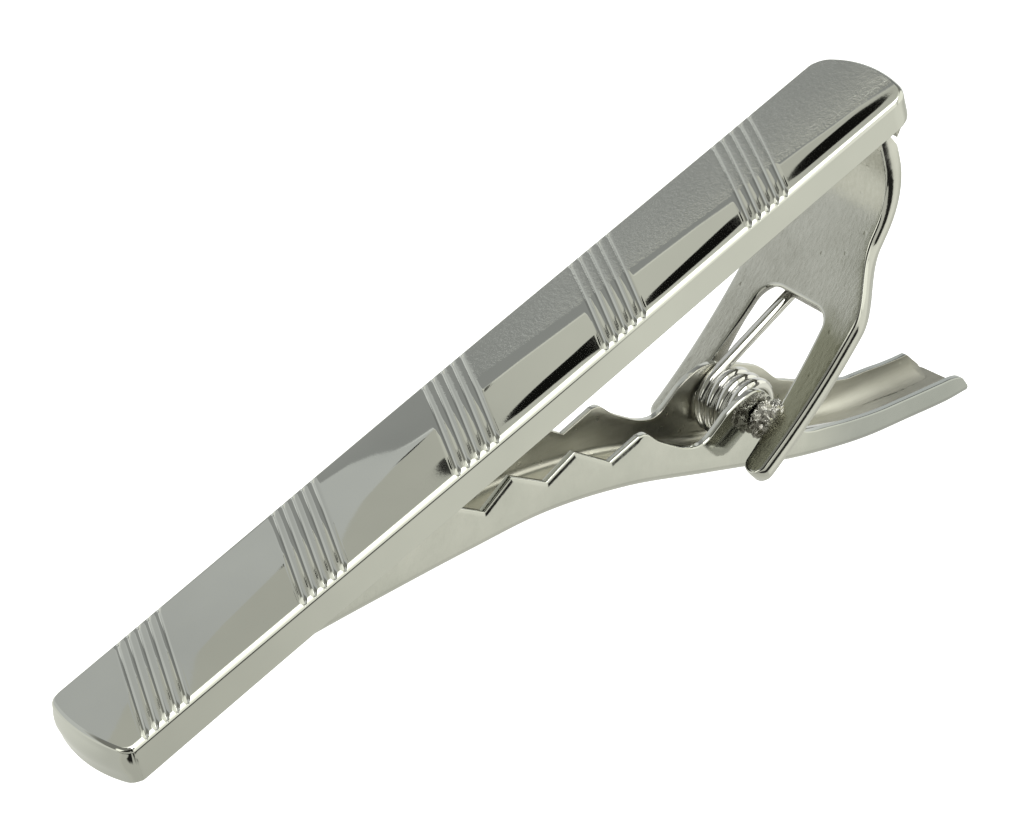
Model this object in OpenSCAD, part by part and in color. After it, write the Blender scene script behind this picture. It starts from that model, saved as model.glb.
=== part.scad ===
// Tie clip: a crowned bar with cut grooves, a stamped bracket, a toothed sprung jaw and its pin.
// Every piece is drawn in the bar's own frame: X runs from the free tip to the hinge end, -Y is the
// near side, and Z = 0 is the plane of the bar's two long top edges. The whole clip is then leaned, so
// that it stands on the tip's lower edge and on the jaw's tail, with +Z straight up.

/* [Front bar] */
// Length of the bar
bar_len = 60.2; // [57:0.2:64]
// Width of the bar
bar_w = 6.3; // [5.4:0.1:7.2]
// Height of the bar's side at the free tip
bar_tip_t = 2.45; // [2.1:0.05:3]
// Height of the bar's side at the hinge end
bar_end_t = 1.9; // [1.6:0.1:2.4]
// Rise of the crowned top above the long edges
crown_h = 0.35; // [0.2:0.05:0.6]
// Radius along the two long top edges
edge_r = 0.35; // [0.2:0.05:0.5]
// How far the free tip bows outward
tip_bow = 0.65; // [0.4:0.05:1.2]
// How far the hinge end bows outward
end_bow = 0.7; // [0.3:0.05:1]
// Radius of the bar's four corners, seen from above
corner_r = 0.9; // [0.5:0.1:1.2]

/* [Grooves] */
// Number of groove groups along the bar
group_count = 5; // [3:1:5]
// Distance from the free tip to the middle of the first group
first_group_x = 5.2; // [4.4:0.1:6]
// Distance from the hinge end to the middle of the last group
last_group_inset = 9.8; // [8:0.1:12]
// Number of grooves in a group
groove_count = 5; // [2:1:6]
// Distance between the grooves of a group
groove_pitch = 0.73; // [0.6:0.01:0.9]
// Width of a groove at the surface
groove_w = 0.5; // [0.3:0.05:0.55]
// Depth of a groove
groove_d = 0.15; // [0.08:0.01:0.2]
// Slant of the grooves away from square, in degrees
groove_slant = 28.8; // [15:0.2:35]

/* [Bracket] */
// Thickness of the bracket plate
plate_t = 1.25; // [1:0.05:1.4]
// Width of the foot under the bar
foot_w = 6; // [5:0.1:6.3]
// Distance from the bar's hinge end to the middle of the foot
foot_inset = 2.1; // [1.5:0.1:3]
// Radius of the bend below the foot
foot_bend_r = 5.2; // [4:0.1:6]
// Angle turned in that bend, in degrees
foot_bend = 48; // [42:1:54]
// Radius of the long curve of the legs
leg_curve_r = 38.5; // [34:0.5:60]
// Width over both legs at the window's upper edge
leg_span = 9.1; // [8.9:0.1:10]
// Width over both legs at their tips
tip_span = 9; // [8.8:0.1:9.8]
// Width of the window between the legs
window_w = 5.3; // [5.1:0.1:5.7]
// Radius in the window's upper corners
window_r = 1; // [0.5:0.1:1.4]
// Distance from the pivot to the window's upper edge
window_rise = 6.7; // [6.4:0.05:7.2]
// Length of the shoulders that narrow towards the foot
shoulder_len = 5; // [4:0.1:6]
// How far the legs reach past the pivot
leg_overhang = 3.05; // [2.4:0.05:3.4]
// Width of a leg at its rounded tip
leg_tip_w = 1.4; // [1.1:0.1:1.8]
// Size of the solder fillets at the foot
solder_size = 0.6; // [0.4:0.05:0.65]

/* [Pivot] */
// Distance from the bar's hinge end back to the pivot
pivot_inset = 14.5; // [14:0.1:15.2]
// Depth of the pivot below the bar's long top edges
pivot_drop = 14.7; // [14.4:0.1:15.4]
// Diameter of the hinge pin
pin_d = 0.76; // [0.6:0.02:0.9]
// Depth of the pin's seat in each leg
pin_seat = 1.15; // [0.9:0.05:1.3]
// Radial clearance of the pin in the legs
seat_clear = 0.01; // [0.01:0.005:0.03]
// Radial clearance of the pin in the jaw's ears
ear_clear = 0.04; // [0.02:0.01:0.08]

/* [Jaw] */
// Thickness of the jaw's sheet metal
sheet_t = 0.42; // [0.38:0.01:0.46]
// Width over the jaw's two walls
jaw_w = 4.2; // [4.15:0.05:4.5]
// Width of the tail at its end
tail_w = 4.1; // [3.8:0.1:4.6]
// Outer radius of the bends between floor and walls
jaw_bend_r = 0.7; // [0.6:0.05:1.1]
// Reach from the pivot to the nose
fore_reach = 36; // [34:0.5:38]
// Reach from the pivot to the end of the tail
tail_reach = 15; // [14.5:0.1:16]
// Drop from the pivot to the underside of the tail's end
tail_drop = 10.7; // [10.2:0.1:11.2]
// Gap between the closed nose and the bar
nip_gap = 0.12; // [0.08:0.01:0.3]
// Extra gap between the bar and the jaw's rim at the first tooth
heel_gap = 0.45; // [0.3:0.05:0.8]
// Distance from the pivot to the point of the first tooth
first_tooth_back = 21.6; // [20.5:0.1:22.5]
// Number of teeth
tooth_count = 3; // [2:1:4]
// Length of the toothed run of the rim
tooth_run = 13.15; // [12.5:0.1:13.8]
// Height of the jaw's side at the point of a tooth
tooth_tall = 3.9; // [3.6:0.1:4.2]
// Height of the jaw's side at the root of a tooth
tooth_low = 2.45; // [2.1:0.05:2.7]
// Height of the ears above the pivot
ear_h = 2.5; // [2.3:0.1:2.8]
// Outer radius of the burred collar round each ear's hole
collar_r = 0.85; // [0.7:0.05:0.95]
// Gap between a collar and the leg beside it
collar_gap = 0.1; // [0.06:0.01:0.15]
// Height of the tail's side walls
tail_wall = 1.85; // [1.6:0.05:2.3]

/* [Spring] */
// Diameter of the spring wire
wire_d = 0.4; // [0.36:0.01:0.42]
// Mean radius of the coil
coil_r = 1.85; // [1.6:0.05:2]
// Distance from turn to turn
coil_pitch = 0.815; // [0.8:0.005:0.82]
// Whole turns between the two arms
coil_turns = 3; // [1:1:3]
// Distance from the pivot to the end of the arm under the bracket
upper_arm = 7.9; // [7.5:0.1:8.6]
// Distance along X from the pivot to the end of the arm in the tail
lower_arm = 7; // [6:0.1:8.5]
// Gap between an arm's end and the face that it bears on
arm_gap = 0.02; // [0.01:0.01:0.1]

/* [Hidden] */
$fn = 96;
// Overrun of every cutting shape past the metal that it cuts
overrun = 0.5;

// Points along an arc, and a list of points turned round or mirrored
function arc_points(centre, r, from, to, steps) = [for (k = [0:steps]) let (a = from + (to - from) * k / steps)
    centre + r * [cos(a), sin(a)]];
function backward(pts) = [for (k = [len(pts) - 1:-1:0]) pts[k]];
function flipped(pts) = [for (p = pts) [-p[0], p[1]]];

// The bar's crown is an arc across its width, and its two ends are arcs seen from above
function arc_radius(chord, rise) = chord * chord / (8 * rise) + rise / 2;
crown_r = arc_radius(bar_w, crown_h);
function bar_under(x) = -bar_tip_t + (bar_tip_t - bar_end_t) * x / bar_len;

// The groups are spread evenly. A groove runs slantwise over the crown, which is a flatter arc in that direction
group_pitch = (bar_len - first_group_x - last_group_inset) / (group_count - 1);
groove_path_r = crown_r / pow(cos(groove_slant), 2);
groove_flare = groove_w / 2 / groove_d;

pivot_x = bar_len - pivot_inset;
pivot_z = -pivot_drop;

// Middle line of the bracket: straight down from the bar, a bend, then one long curve that passes through
// the pivot. Angles are turned from the straight foot.
foot_x = bar_len - foot_inset;
foot_cos_run = (foot_bend_r - leg_curve_r) * cos(foot_bend);
pivot_turn = acos((pivot_x - foot_x + foot_bend_r - foot_cos_run) / leg_curve_r);
foot_z = pivot_z + (foot_bend_r - leg_curve_r) * sin(foot_bend) + leg_curve_r * sin(pivot_turn);
foot_centre = [foot_x - foot_bend_r, foot_z];
leg_centre = foot_centre + (foot_bend_r - leg_curve_r) * [cos(foot_bend), -sin(foot_bend)];
// The plate runs this many degrees past the legs' tips, and the long curve's first point lies this far in
spare_turn = 2;
first_turn = 1;
leg_end_turn = pivot_turn + leg_overhang / leg_curve_r * 180 / PI + spare_turn;
function leg_face(turn, r) = leg_centre + r * [cos(turn), -sin(turn)];

// The bracket's outline is cut square to the legs at the pivot, so it is drawn in that plane
leg_tilt = 90 - pivot_turn;
shoulder_steps = 12;
bend_steps = 10;
leg_steps = 12;
tip_steps = 10;
window_steps = 6;
outline_reach = 2 * pivot_drop;
function ease(t) = t * t * (3 - 2 * t);
function plate_half(t) = leg_span / 2 - (leg_span - foot_w) / 2 * ease(t);

// The pin is staked in blind seats in the edges of the legs
pin_half = window_w / 2 + pin_seat - seat_clear;
collar_reach = window_w / 2 - collar_gap;

// Jaw outline. Shares give the floor's underside: forward of the pivot as shares of the reach and of the
// rise to the nose, and behind it as shares of the tail's reach and drop.
nose_x = pivot_x - fore_reach;
tail_x = pivot_x + tail_reach;
nose_top = bar_under(nose_x) - nip_gap;
nose_rise = nose_top - pivot_z;
fore_floor_shares = [
    [1, 0.945],
    [0.894, 0.88],
    [0.741, 0.758],
    [0.586, 0.626],
    [0.429, 0.475],
    [0.275, 0.242],
    [0.122, -0.062]
];
tail_floor_shares = [
    [0.082, 0.425],
    [0.278, 0.587],
    [0.479, 0.731],
    [0.689, 0.848],
    [0.901, 0.962],
    [1, 1]
];
floor_line = concat(
    [for (s = fore_floor_shares) [pivot_x - s[0] * fore_reach, pivot_z + s[1] * nose_rise]],
    [for (s = tail_floor_shares) [pivot_x + s[0] * tail_reach, pivot_z - s[1] * tail_drop]]
);

// Smooth curve through a list of points whose X values rise
function next_index(pts, x, i = 1) = (i >= len(pts) - 1 || x <= pts[i][0]) ? i : next_index(pts, x, i + 1);
function slope_at(pts, i) = let (a = pts[max(i - 1, 0)], b = pts[min(i + 1, len(pts) - 1)])
    (b[1] - a[1]) / (b[0] - a[0]);
function curve_z(pts, x) = let (
        i = next_index(pts, x),
        p = pts[i - 1],
        q = pts[i],
        h = q[0] - p[0],
        u = (x - p[0]) / h
    )
    p[1] * (2 * pow(u, 3) - 3 * pow(u, 2) + 1) + q[1] * (3 * pow(u, 2) - 2 * pow(u, 3))
    + h * slope_at(pts, i - 1) * (pow(u, 3) - 2 * pow(u, 2) + u)
    + h * slope_at(pts, i) * (pow(u, 3) - pow(u, 2));

function floor_z(x) = curve_z(floor_line, x);
slope_step = sheet_t / 10;
function floor_slope(x) = let (
        a = max(x - slope_step, nose_x),
        b = min(x + slope_step, tail_x)
    )
    atan((floor_z(b) - floor_z(a)) / (b - a));
function floor_thick(x) = sheet_t / cos(floor_slope(x));

// Rim of the walls: a straight stretch under the bar, saw teeth, a neck, the ears and the tail
first_tooth_x = pivot_x - first_tooth_back;
tooth_pitch = tooth_run / tooth_count;
tooth_root_share = 0.48;
last_point_x = first_tooth_x + tooth_run;
heel_top = bar_under(first_tooth_x) - nip_gap - heel_gap;
tooth_line = concat(
    [[nose_x, nose_top], [first_tooth_x, heel_top]],
    [for (i = [0:tooth_count - 1])
        let (point_x = first_tooth_x + i * tooth_pitch, root_x = point_x + tooth_root_share * tooth_pitch)
        each [
            [root_x, floor_z(root_x) + tooth_low],
            [point_x + tooth_pitch, floor_z(point_x + tooth_pitch) + tooth_tall]
        ]
    ]
);
last_point_z = floor_z(last_point_x) + tooth_tall;
neck_shares = [
    [0, 0],
    [0.09, 0.083],
    [0.2, 0.42],
    [0.33, 0.72],
    [0.44, 0.945],
    [0.585, 1.14],
    [0.7, 1.18],
    [0.85, 1.1]
];
ear_shares = [
    [-0.88, 1],
    [-0.32, 1.03],
    [0.14, 0.87],
    [0.55, 0.51],
    [1.04, 0.06],
    [1.44, -0.38],
    [1.76, -1.08]
];
ear_front = [pivot_x, pivot_z] + ear_h * ear_shares[0];
tail_start_share = 2.04;
tail_start_x = pivot_x + tail_start_share * ear_h;
tail_rim_shares = [[0, 1], [0.3, 1], [0.6, 0.98], [0.84, 0.94], [0.93, 0.83], [0.98, 0.58], [1, 0.26]];
rear_rim = concat(
    [for (s = neck_shares) [last_point_x + s[0] * (ear_front[0] - last_point_x),
        last_point_z + s[1] * (ear_front[1] - last_point_z)]],
    [for (s = ear_shares) [pivot_x + s[0] * ear_h, pivot_z + s[1] * ear_h]],
    [for (s = tail_rim_shares) let (x = tail_start_x + s[0] * (tail_x - tail_start_x))
        [x, floor_z(x) + s[1] * tail_wall]]
);
function rim_z(x) = x <= last_point_x ? lookup(x, tooth_line) : curve_z(rear_rim, x);

// Half width of the jaw: a rounded nose, parallel walls and a tail that flares
nose_round = jaw_w / 2;
nose_round_share = 0.45;
function flare(x) = ease(min(max((x - pivot_x - ear_h) / (tail_reach - ear_h), 0), 1));
function nose_ease(x) = sqrt(1 - pow(max(1 - (x - nose_x) / nose_round, 0), 2));
function jaw_half(x) = jaw_w / 2 * (1 - nose_round_share + nose_round_share * nose_ease(x))
    + (tail_w - jaw_w) / 2 * flare(x);

// Cross-section of the channel at X, as one closed loop: the outside, then the inside
channel_steps = 4;
lip_h = sheet_t / 8;
inner_bend_share = 0.9;
outer_bend_share = 0.95;
function channel_side(x) = let (
        base = floor_z(x),
        thick = floor_thick(x),
        rim = max(rim_z(x), base + thick + lip_h),
        half = jaw_half(x),
        inner_r = min(jaw_bend_r - sheet_t, inner_bend_share * (rim - base - thick)),
        outer_r = min(inner_r + sheet_t, outer_bend_share * (rim - base))
    )
    [
        concat(arc_points([half - outer_r, base + outer_r], outer_r, -90, 0, channel_steps), [[half, rim]]),
        concat(
            arc_points([half - sheet_t - inner_r, base + thick + inner_r], inner_r, -90, 0, channel_steps),
            [[half - sheet_t, rim]]
        )
    ];
function channel_loop(x) = let (side = channel_side(x), outer = side[0], inner = side[1])
    [for (p = concat(backward(flipped(outer)), outer, backward(inner), flipped(inner))) [x, p[0], p[1]]];

// Stations of the jaw: close together round the nose, on every tooth's corners and along the curves
nose_steps = 5;
rim_steps = 3;
curve_steps = 2;
nose_stations = [for (i = [0:nose_steps - 1]) nose_x + nose_round * (1 - cos(90 * i / nose_steps))];
fore_start = nose_x + nose_round;
fore_steps = 6;
fore_stations = [for (i = [0:fore_steps - 1]) fore_start + (first_tooth_x - fore_start) * i / fore_steps];
tooth_stations = [for (i = [1:len(tooth_line) - 2], k = [0:curve_steps - 1])
    tooth_line[i][0] + (tooth_line[i + 1][0] - tooth_line[i][0]) * k / curve_steps];
rear_stations = [for (i = [0:len(rear_rim) - 2], k = [0:rim_steps - 1])
    rear_rim[i][0] + (rear_rim[i + 1][0] - rear_rim[i][0]) * k / rim_steps];
stations = concat(nose_stations, fore_stations, tooth_stations, rear_stations, [tail_x]);

// Spring: an arm under the bracket, a close coil round the pin and an arm in the tail, as one path.
// Each arm ends in a short straight stub, square to the face that it bears on.
loop_rings = 24;
arm_bend = 1.5 * wire_d;
upper_turn = pivot_turn - asin(upper_arm / leg_curve_r);
upper_end = leg_face(upper_turn, leg_curve_r + plate_t / 2 + arm_gap) - [pivot_x, pivot_z];
upper_out = [cos(upper_turn), -sin(upper_turn)];
lower_slope = floor_slope(pivot_x + lower_arm);
lower_out = [-sin(lower_slope), cos(lower_slope)];
lower_foot = [pivot_x + lower_arm, floor_z(pivot_x + lower_arm) + floor_thick(pivot_x + lower_arm)];
lower_end = lower_foot + arm_gap * lower_out - [pivot_x, pivot_z];
upper_knee = upper_end + (wire_d + arm_bend) * upper_out;
lower_knee = lower_end + (wire_d + arm_bend) * lower_out;
upper_angle = atan2(upper_knee[1], upper_knee[0]) + acos(coil_r / norm(upper_knee));
lower_angle = atan2(lower_knee[1], lower_knee[0]) - acos(coil_r / norm(lower_knee)) + 360;
coil_sweep = lower_angle - upper_angle + 360 * coil_turns;
coil_rings = ceil(coil_sweep / 360 * loop_rings);
coil_side = coil_pitch * coil_sweep / 360 / 2;
function on_coil(a) = coil_r * [cos(a), sin(a)];
function between(a, b, t) = a + t * (b - a);
// A knee is a short quadratic curve between the stub and the arm
knee_steps = 4;
function knee(stub, corner_pt, arm) = [for (k = [0:knee_steps]) let (t = k / knee_steps)
    between(between(stub, corner_pt, t), between(corner_pt, arm, t), t)];
function toward(a, b, d) = a + d * (b - a) / norm(b - a);
function at_side(pts, y) = [for (p = pts) [p[0], y, p[1]]];
coil_path = [for (k = [0:coil_rings]) let (t = k / coil_rings, p = on_coil(upper_angle + t * coil_sweep))
    [p[0], coil_side * (1 - 2 * t), p[1]]];
upper_path = concat(
    [upper_end],
    knee(upper_end + wire_d * upper_out, upper_knee, toward(upper_knee, on_coil(upper_angle), arm_bend))
);
lower_path = concat(
    knee(toward(lower_knee, on_coil(lower_angle), arm_bend), lower_knee, lower_end + wire_d * lower_out),
    [lower_end]
);
spring_path = concat(at_side(upper_path, coil_side), coil_path, at_side(lower_path, -coil_side));
wire_sides = 6;
function heading(pts, i) = let (a = pts[max(i - 1, 0)], b = pts[min(i + 1, len(pts) - 1)])
    (b - a) / norm(b - a);
function wire_ring(pts, i) = let (
        t = heading(pts, i),
        square_to = cross(t, [0, 1, 0]),
        side = square_to / norm(square_to),
        up = cross(side, t)
    )
    [for (k = [0:wire_sides - 1]) let (a = 360 * k / wire_sides)
        pts[i] + wire_d / 2 * (cos(a) * up + sin(a) * side)];
// Least distance between points of the path that lie more than half a turn apart, less the wire
turn_gap = min([for (i = [0:coil_rings - loop_rings / 2], j = [i + loop_rings / 2:coil_rings])
    norm(coil_path[i] - coil_path[j])]) - wire_d;
echo(str("Least gap between the spring's turns: ", turn_gap, " mm"));

// Lean of the clip: the steepest line from the tip's lower edge to the underside of the jaw
lean = max([for (p = floor_line) atan2(bar_under(0) - p[1], p[0])]);
function leaned_x(p) = p[0] * cos(lean) - p[1] * sin(lean);
middle_x = (leaned_x([0, crown_h]) + leaned_x([tail_x, floor_z(tail_x)])) / 2;
foot_level = bar_under(0) * cos(lean);

module stood() {
    translate([-middle_x, 0, -foot_level]) rotate([0, -lean, 0]) children();
}

// Extrudes a side view, drawn in X and Z, to a width centred on Y = 0
module across(width) {
    translate([0, width / 2, 0]) rotate([90, 0, 0]) linear_extrude(width) children();
}

// A block with a flat lower side and an arched upper side whose two corners are rounded
module arched_shape(width, rise, depth, corner) {
    r = arc_radius(width, rise);
    centre_y = rise - r;
    corner_x = width / 2 - corner;
    corner_y = centre_y + sqrt(pow(r - corner, 2) - pow(corner_x, 2));
    reach = (r + overrun) / (r - corner);
    difference() {
        union() {
            translate([-width / 2, -depth]) square([width, depth]);
            intersection() {
                translate([0, centre_y]) circle(r, $fn = 360);
                translate([-width / 2, -corner]) square([width, corner + rise]);
            }
        }
        for (side = [-1, 1])
            polygon([
                [side * corner_x, corner_y],
                [side * corner_x * reach, centre_y + (corner_y - centre_y) * reach],
                [side * (width / 2 + overrun), rise + overrun],
                [side * (width / 2 + overrun), corner_y]
            ]);
    }
    for (side = [-1, 1])
        translate([side * corner_x, corner_y]) circle(corner);
}

module bar_cross_section() {
    arched_shape(bar_w, crown_h, bar_tip_t + overrun, edge_r);
}

module bar_plan() {
    translate([bar_len - end_bow, 0]) rotate(-90) arched_shape(bar_w, end_bow, bar_len / 2, corner_r);
    translate([tip_bow, 0]) rotate(90) arched_shape(bar_w, tip_bow, bar_len / 2, corner_r);
}

module groove_cutter() {
    rim_out = groove_path_r + overrun;
    half = groove_flare * (groove_d + overrun);
    translate([0, 0, crown_h - groove_path_r]) rotate([0, 0, -groove_slant]) rotate([0, 90, 0])
        rotate_extrude($fn = 360)
            polygon([[groove_path_r - groove_d, 0], [rim_out, half], [rim_out, -half]]);
}

module front_bar() {
    color("silver") stood() difference() {
        intersection() {
            rotate([90, 0, 90]) linear_extrude(bar_len) bar_cross_section();
            translate([0, 0, -bar_tip_t - overrun])
                linear_extrude(bar_tip_t + crown_h + 2 * overrun) bar_plan();
            across(bar_w + 2 * overrun) polygon([
                [-overrun, bar_under(-overrun)],
                [bar_len + overrun, bar_under(bar_len + overrun)],
                [bar_len + overrun, crown_h + overrun],
                [-overrun, crown_h + overrun]
            ]);
        }
        for (group = [0:group_count - 1], line = [0:groove_count - 1]) {
            off_middle = (line - (groove_count - 1) / 2) * groove_pitch;
            translate([first_group_x + group * group_pitch + off_middle, 0, 0]) groove_cutter();
        }
    }
}

// One face of the bent plate, from the foot down to the tips, at a distance from its middle line
function plate_face(out) = concat(
    [[foot_x + out, bar_under(foot_x + out)]],
    arc_points(foot_centre, foot_bend_r + out, 0, -foot_bend, bend_steps),
    arc_points(leg_centre, leg_curve_r + out, -foot_bend - first_turn, -leg_end_turn, leg_steps)
);

module bracket_side() {
    polygon(concat(plate_face(plate_t / 2), backward(plate_face(-plate_t / 2))));
}

// The stamped outline, with X running up the legs from the pivot
module bracket_outline() {
    tip_r = leg_tip_w / 2;
    shoulder = [for (k = [0:shoulder_steps]) let (t = 1 - k / shoulder_steps)
        [window_rise + t * shoulder_len, plate_half(t)]];
    tip = arc_points([tip_r - leg_overhang, tip_span / 2 - tip_r], tip_r, 90, 270, tip_steps);
    window = arc_points([window_rise - window_r, window_w / 2 - window_r], window_r, 90, 0, window_steps);
    half_outline = concat([[outline_reach, foot_w / 2]], shoulder, tip, window);
    polygon(concat(half_outline, backward([for (p = half_outline) [p[0], -p[1]]])));
}

module bracket() {
    seat_r = pin_d / 2 + seat_clear;
    seat_reach = 2 * (window_w / 2 + pin_seat);
    color("gainsboro") stood() difference() {
        intersection() {
            across(leg_span + 2 * overrun) bracket_side();
            translate([pivot_x, 0, pivot_z]) rotate([0, -leg_tilt, 0]) translate([0, 0, -pivot_drop])
                linear_extrude(2 * pivot_drop) bracket_outline();
        }
        translate([pivot_x, 0, pivot_z]) rotate([90, 0, 0])
            cylinder(h = seat_reach, r = seat_r, center = true);
    }
}

module solder_seam() {
    color("darkgray") stood() across(foot_w) {
        for (side = [-1, 1]) {
            face_x = foot_x + side * plate_t / 2;
            out_x = face_x + side * solder_size;
            polygon([
                [face_x, bar_under(face_x)],
                [out_x, bar_under(out_x)],
                [face_x, bar_under(face_x) - solder_size]
            ]);
        }
    }
}

module hinge_pin() {
    color("dimgray") stood() translate([pivot_x, 0, pivot_z]) rotate([90, 0, 0])
        cylinder(h = 2 * pin_half, r = pin_d / 2, center = true);
}

// Skins a row of equal loops, given as lists of points, from the first to the last
module skinned(loops, cap) {
    n = len(loops[0]);
    last = len(loops) - 1;
    sides = [for (i = [0:last - 1], j = [0:n - 1]) let (a = i * n + j, b = i * n + (j + 1) % n)
        each [[a, a + n, b + n], [a, b + n, b]]];
    ends = [for (t = cap) each [t, [for (k = [2:-1:0]) t[k] + last * n]]];
    polyhedron([for (ring = loops) each ring], concat(sides, ends));
}

module channel() {
    loops = [for (x = stations) channel_loop(x)];
    n = len(loops[0]);
    // The two ends are closed between the outside and the inside of the channel
    cap = [for (k = [0:n / 2 - 2]) each [[k, k + 1, n - 2 - k], [k, n - 2 - k, n - 1 - k]]];
    skinned(loops, cap);
}

module jaw() {
    bore_r = pin_d / 2 + ear_clear;
    collar_root = jaw_w / 2 - sheet_t / 2;
    color("lightgray") stood() difference() {
        union() {
            channel();
            for (side = [-1, 1])
                translate([pivot_x, side * (collar_reach + collar_root) / 2, pivot_z]) rotate([90, 0, 0])
                    cylinder(h = collar_reach - collar_root, r = collar_r, center = true);
        }
        translate([pivot_x, 0, pivot_z]) rotate([90, 0, 0]) cylinder(h = leg_span, r = bore_r, center = true);
    }
}

module torsion_spring() {
    loops = [for (i = [0:len(spring_path) - 1]) wire_ring(spring_path, i)];
    cap = [for (k = [1:wire_sides - 2]) [0, k, k + 1]];
    color("whitesmoke") stood() translate([pivot_x, 0, pivot_z]) skinned(loops, cap);
}

front_bar();
solder_seam();
bracket();
hinge_pin();
torsion_spring();
jaw();
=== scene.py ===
import functools
import math

import bpy
import numpy as np
from mathutils import Matrix, Vector, noise
from mathutils.geometry import delaunay_2d_cdt

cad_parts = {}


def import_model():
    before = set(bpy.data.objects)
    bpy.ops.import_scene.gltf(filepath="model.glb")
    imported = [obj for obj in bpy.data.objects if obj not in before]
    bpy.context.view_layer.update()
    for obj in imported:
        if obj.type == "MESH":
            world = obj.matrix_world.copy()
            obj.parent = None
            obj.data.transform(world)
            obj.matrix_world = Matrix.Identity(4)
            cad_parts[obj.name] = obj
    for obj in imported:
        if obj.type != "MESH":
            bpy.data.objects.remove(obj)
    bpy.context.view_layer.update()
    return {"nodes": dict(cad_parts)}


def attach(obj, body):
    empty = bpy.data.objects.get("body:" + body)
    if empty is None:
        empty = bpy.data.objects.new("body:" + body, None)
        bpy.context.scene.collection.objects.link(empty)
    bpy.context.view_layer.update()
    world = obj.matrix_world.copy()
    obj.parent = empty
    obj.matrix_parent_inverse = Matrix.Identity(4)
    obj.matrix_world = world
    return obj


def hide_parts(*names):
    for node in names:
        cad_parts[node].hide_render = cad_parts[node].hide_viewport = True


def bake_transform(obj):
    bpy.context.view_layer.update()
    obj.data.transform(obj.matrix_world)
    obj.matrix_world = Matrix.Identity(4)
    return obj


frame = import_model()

# Shapes are drawn in mm in the bar's own frame: X runs from the free tip to the hinge end, -Y is the near side, and
# Z = 0 is the plane of the bar's two long top edges. stood() turns a point of it into the row frame, in metres.

# ---------------------------------------------------------------- sizes that the solid model has too
BAR_LEN, BAR_W = 60.2, 6.3
BAR_TIP_T, BAR_END_T = 2.45, 1.9
CROWN_H, TIP_BOW, END_BOW, CORNER_R = 0.35, 0.65, 0.7, 0.9
GROUPS, FIRST_GROUP, LAST_INSET = 5, 5.2, 9.8
GROOVES, GROOVE_PITCH, GROOVE_SLANT = 5, 0.73, 28.8
PLATE_T, FOOT_W, FOOT_INSET, FOOT_BEND_R, FOOT_BEND = 1.25, 6.0, 2.1, 5.2, 48.0
LEG_R, LEG_SPAN, TIP_SPAN, LEG_TIP_W = 38.5, 9.1, 9.0, 1.4
WINDOW_W, WINDOW_R, WINDOW_RISE, SHOULDER, OVERHANG = 5.0, 1.0, 7.0, 4.7, 3.05
PIVOT_X, PIVOT_Z = BAR_LEN - 14.5, -14.7
SHEET, JAW_W, TAIL_W, JAW_BEND = 0.42, 4.2, 4.1, 0.7
FORE, TAIL, TAIL_DROP = 36.0, 15.0, 10.7
NIP_GAP, HEEL_GAP, FIRST_TOOTH, TEETH, TOOTH_RUN = 0.12, 0.45, 21.6, 3, 13.15
TOOTH_TALL, TOOTH_LOW, EAR_H, TAIL_WALL = 3.9, 2.45, 2.5, 1.85

# ---------------------------------------------------------------- sizes of the visible pieces alone
# What the plated bar has more on each side, and the share that it is wider still along its middle
PLATING, MIDDLE_SWELL = 0.1, 0.03
# Radius of its top edges, radius of its lower edge, and what the lower edge has more round the hinge end
TOP_EDGE_R, LOW_EDGE_R, LOW_EDGE_MORE = 0.26, 0.12, 0.5
# Swell of the tip's face, and what the hinge end's corners have more than the tip's
TIP_SWELL, CORNER_MORE = 0.22, 0.35
# How far the hinge end stands out in its middle, and how much more for each mm towards its near corner
ASKEW, ASKEW_NEAR = 0.05, 0.12
# The cuts as the plating leaves them: a narrow valley between lands that are polished a little round. Each pair is
# a depth and how far it reaches from the cut.
VALLEY, LAND, LAST_LAND = (0.045, 0.12), (0.02, GROOVE_PITCH / 2), (0.012, GROOVE_PITCH / 2)
# The bracket's rims, the window's far corner, how far the punch slants there, and the net of its faces
RIM_R, WINDOW_FAR_R, PUNCH_SLANT, NET_STEP = 0.2, 1.4, 0.66, 0.3
# Along the teeth the jaw's walls lean in, in degrees, over a bend of this radius
LEAN_IN, LEAN_R = 12, 1.6
# Outer and inner radius of the jaw's rim, and what the tail's far wall is shorter than its near wall
LIP, IN_LIP, TAIL_SKEW = 0.12, 0.06, 0.4
# The spring's wire, close-wound: radius to the wire's middle, whole turns, and pitch as a share of the wire
WIRE, COIL_R, WHOLE_TURNS, COIL_PITCH = 0.74, 1.75, 3, 1.015
# Reach of the spring's arms from the pivot
UPPER_REACH, LOWER_REACH = 7.9, 7.6
# How many points the meshes have
BAR_COLS, END_ROWS, EDGE_STEPS, WIRE_SIDES, BURR_ROWS, BURR_COLS = 44, 26, 9, 20, 40, 90


def bar_under(x):
    return -BAR_TIP_T + (BAR_TIP_T - BAR_END_T) * x / BAR_LEN


def curve(points, x):
    """Smooth curve through points whose first values rise, as the solid model draws it."""
    i = 1
    while i < len(points) - 1 and x > points[i][0]:
        i += 1

    def slope(k):
        a, b = points[max(k - 1, 0)], points[min(k + 1, len(points) - 1)]
        return (b[1] - a[1]) / (b[0] - a[0])

    p, q = points[i - 1], points[i]
    h = q[0] - p[0]
    u = (x - p[0]) / h
    return (p[1] * (2 * u ** 3 - 3 * u ** 2 + 1) + q[1] * (3 * u ** 2 - 2 * u ** 3)
            + h * slope(i - 1) * (u ** 3 - 2 * u ** 2 + u) + h * slope(i) * (u ** 3 - u ** 2))


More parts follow.
